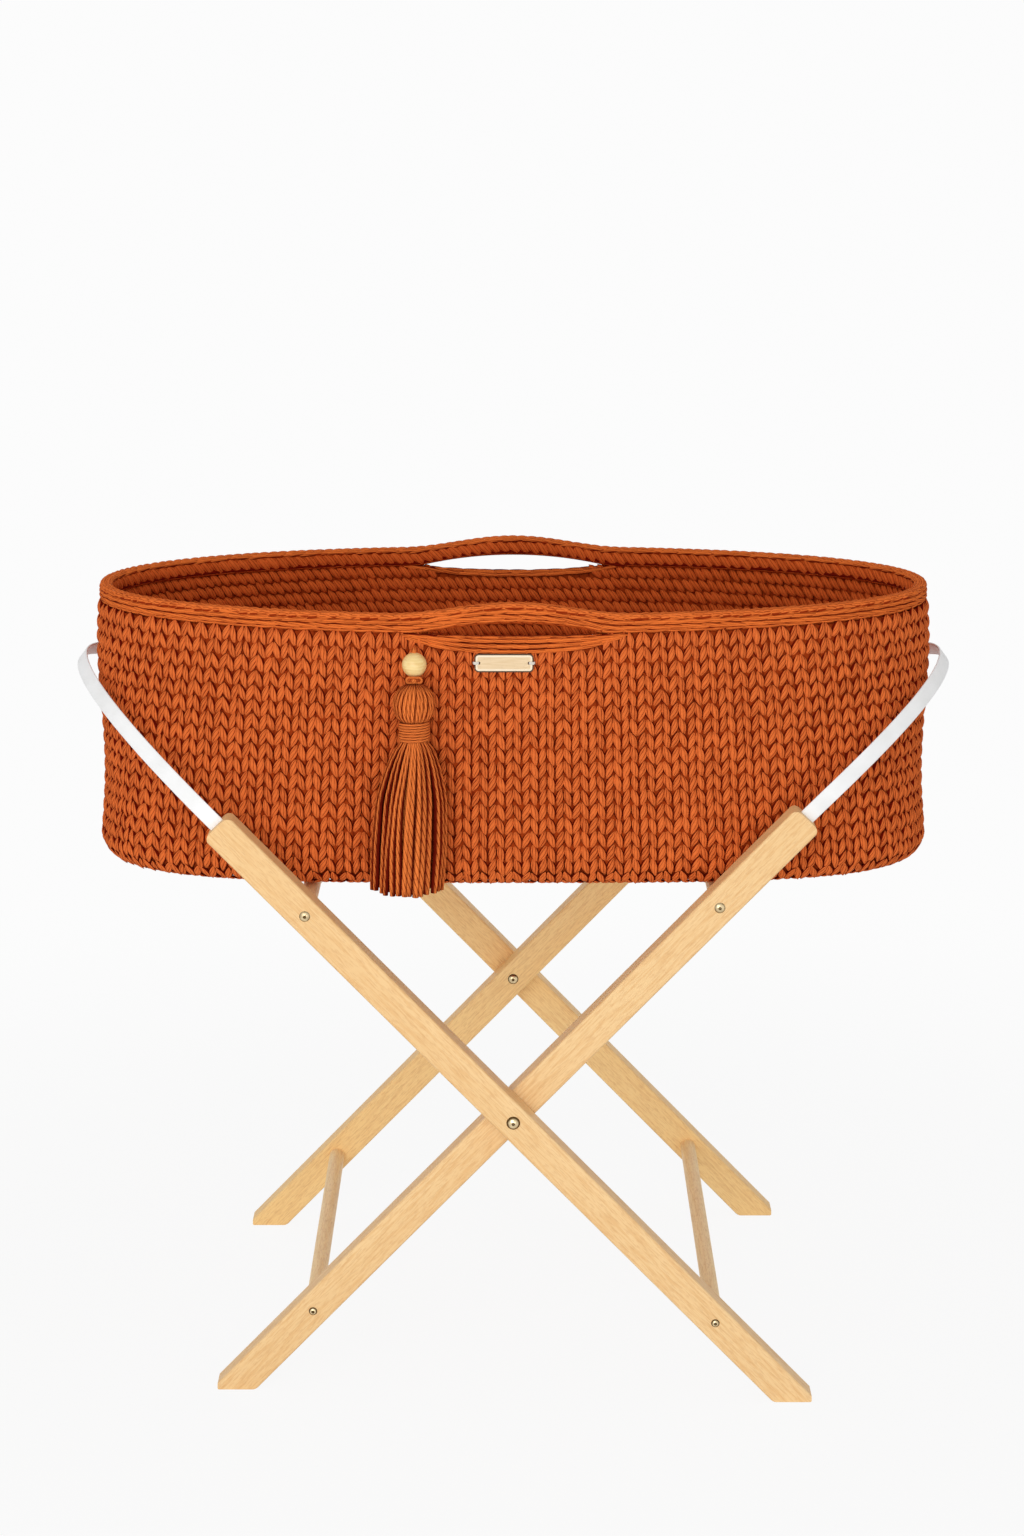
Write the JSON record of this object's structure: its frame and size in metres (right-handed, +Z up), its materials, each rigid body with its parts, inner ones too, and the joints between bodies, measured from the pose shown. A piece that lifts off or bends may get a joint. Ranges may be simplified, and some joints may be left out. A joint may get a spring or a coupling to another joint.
{
  "type": "moses basket stand with basket",
  "caption": "Folding crossed-leg wooden stand that carries an oval crocheted baby basket on webbing, with a soft band round each end and a hanging tassel.",
  "frame": {"origin": "on the floor, below the middle of the stand", "axes": "+X along the basket, +Y from the front to the back, +Z up"},
  "size_m": [0.8466, 0.5072, 0.7572],
  "materials": {
    "beech": "clear satin lacquer on planed beech",
    "brass": "polished, slightly aged",
    "nylon": "moulded",
    "white_band": "smooth coated band",
    "webbing": "woven cotton webbing",
    "yarn": "thick crocheted cotton yarn",
    "plywood": "bare birch plywood",
    "plate": "brushed pale gold, blank",
    "thread": "waxed sewing thread",
    "bead": "waxed natural bead"
  },
  "bodies": {
    "outer_frame": {"outer_leg_front": "beech", "outer_leg_rear": "beech", "upper_rail_left": "beech", "lower_rail_right": "beech", "pivot_bolt_front": "brass", "pivot_bolt_rear": "brass", "sleeve_nut_front": "brass", "sleeve_nut_rear": "brass", "pivot_spacers": "nylon", "outer_rail_screws": "brass", "end_band_left": "white_band", "webbing_front": "webbing", "webbing_rear": "webbing"},
    "inner_frame": {"inner_leg_front": "beech", "inner_leg_rear": "beech", "upper_rail_right": "beech", "lower_rail_left": "beech", "inner_rail_screws": "brass", "end_band_right": "white_band"},
    "basket": {"basket_wall": "yarn", "rim_left": "yarn", "rim_right": "yarn", "handle_front": "yarn", "handle_rear": "yarn", "base_panel": "yarn", "base_board": "plywood", "base_lining": "yarn", "name_plate": "plate", "plate_threads": "thread", "bead": "bead", "bead_cord": "yarn"},
    "tassel": {"tassel_loop": "yarn", "tassel_head": "yarn", "tassel_binding": "yarn", "tassel_skirt": "yarn"}
  },
  "joints": [
    {"name": "fold", "type": "hinge", "parent": "outer_frame", "child": "inner_frame", "pos_m": [0, 0, 0.279], "axis": [0, -1, 0], "range_deg": [0, 82], "deforming": ["webbing_front", "webbing_rear", "end_band_left", "end_band_right"]},
    {"name": "basket_lift", "type": "slide", "parent": "outer_frame", "child": "basket", "axis": [0, 0, 1], "range_m": [0, 0.45]},
    {"name": "tassel_swing", "type": "hinge", "parent": "basket", "child": "tassel", "pos_m": [-0.09, -0.2123, 0.68937], "axis": [0, 1, 0], "range_deg": [-15, 15]}
  ],
  "couplings": [
    {"joint": "basket_lift", "follows": "fold", "m_per_rad": 0.314}
  ]
}
